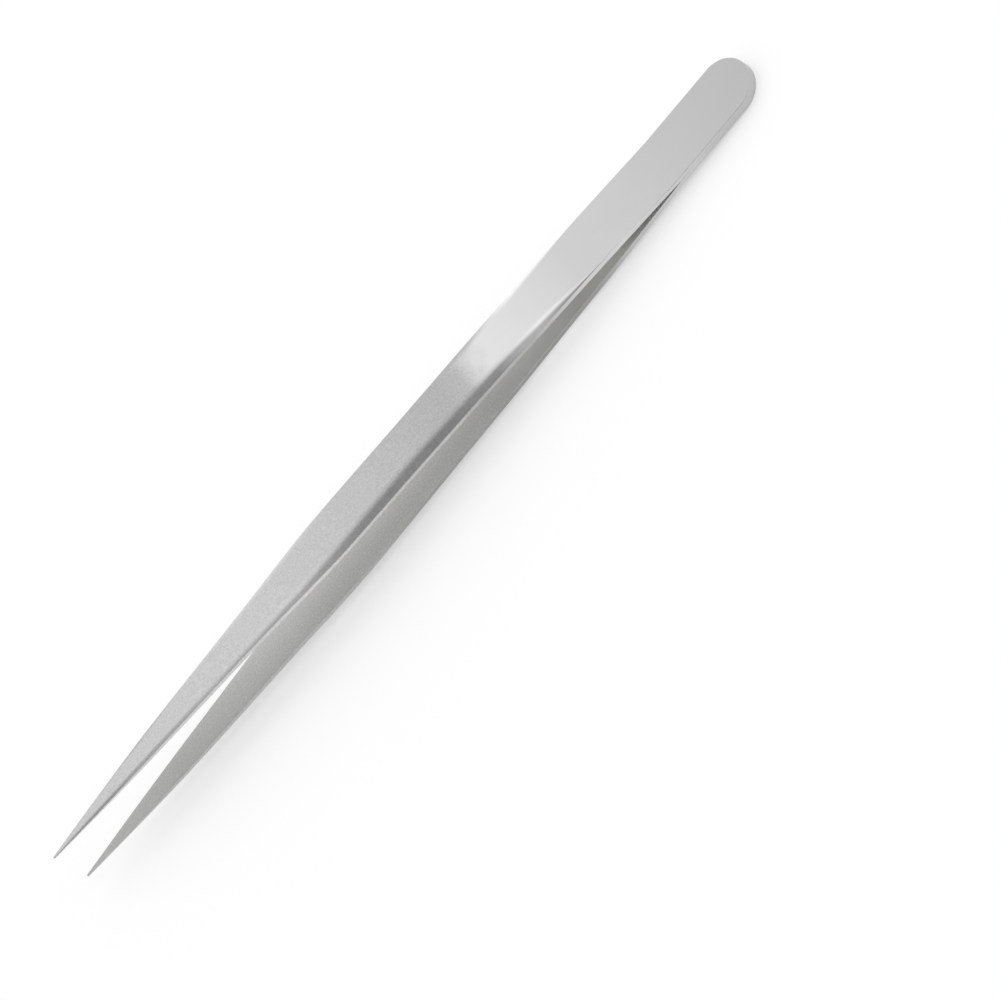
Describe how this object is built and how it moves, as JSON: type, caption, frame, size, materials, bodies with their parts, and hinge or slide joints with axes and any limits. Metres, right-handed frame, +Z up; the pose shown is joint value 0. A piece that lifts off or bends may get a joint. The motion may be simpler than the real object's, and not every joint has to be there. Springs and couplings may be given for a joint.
{
  "type": "fine tip precision tweezers",
  "caption": "Straight precision tweezers in satin steel: spring leaves welded at a flat round head, bevelled grips and a long taper to fine points that close when squeezed.",
  "frame": {"origin": "on the surface that the tweezers lie on, under the middle of their bounding box", "axes": "+X from the head end towards the points, +Z up, in the direction in which the tweezers open, +Y across the leaves"},
  "size_m": [0.14, 0.0084, 0.0117],
  "materials": {
    "leaf_steel": "satin at the head and springs, fine bead-blasted grain on the grips and points"
  },
  "bodies": {
    "lower_arm": {"lower_arm": "leaf_steel"},
    "upper_arm": {"upper_arm": "leaf_steel"}
  },
  "joints": [
    {"name": "squeeze", "type": "hinge", "parent": "lower_arm", "child": "upper_arm", "pos_m": [-0.05301, 0, 0.00158], "axis": [0, 1, 0], "range_deg": [0, 3.46], "stiffness_Nm_per_rad": 1.7}
  ]
}
